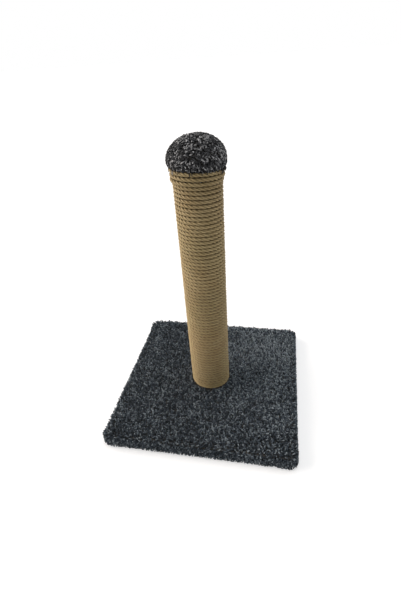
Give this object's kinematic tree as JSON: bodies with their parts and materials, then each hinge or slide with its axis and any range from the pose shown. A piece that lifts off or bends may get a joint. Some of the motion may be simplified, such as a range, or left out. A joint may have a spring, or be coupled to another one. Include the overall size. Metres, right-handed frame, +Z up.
{
  "type": "cat scratching post",
  "caption": "Cat scratching post: a square base wrapped in flecked dark carpet, an upright wound with sisal rope, and a padded carpet dome on top.",
  "frame": {"origin": "middle of the base's underside, on the floor", "axes": "+Z up along the post, X and Y along the sides of the square base"},
  "size_m": [0.4, 0.4, 0.5715],
  "materials": {
    "chipboard": "raw pressed chips",
    "carpet": "cut pile, dark blue-grey flecked black and light grey",
    "zinc_steel": "zinc-plated",
    "cardboard": "spiral-wound cardboard",
    "softwood": "sawn",
    "wadding": "polyester wadding",
    "sisal": "three-strand natural fibre rope"
  },
  "bodies": {
    "root": {"baseboard": "chipboard", "base_carpet": "carpet", "margin_staples": "zinc_steel", "core_tube": "cardboard", "foot_plug": "softwood", "foot_screws": "zinc_steel", "foot_plug_nails": "zinc_steel", "top_plug": "softwood", "top_plug_nails": "zinc_steel", "cap_pad": "wadding", "carpet_cap": "carpet", "cap_tacks": "zinc_steel", "sisal_rope": "sisal"}
  },
  "joints": []
}
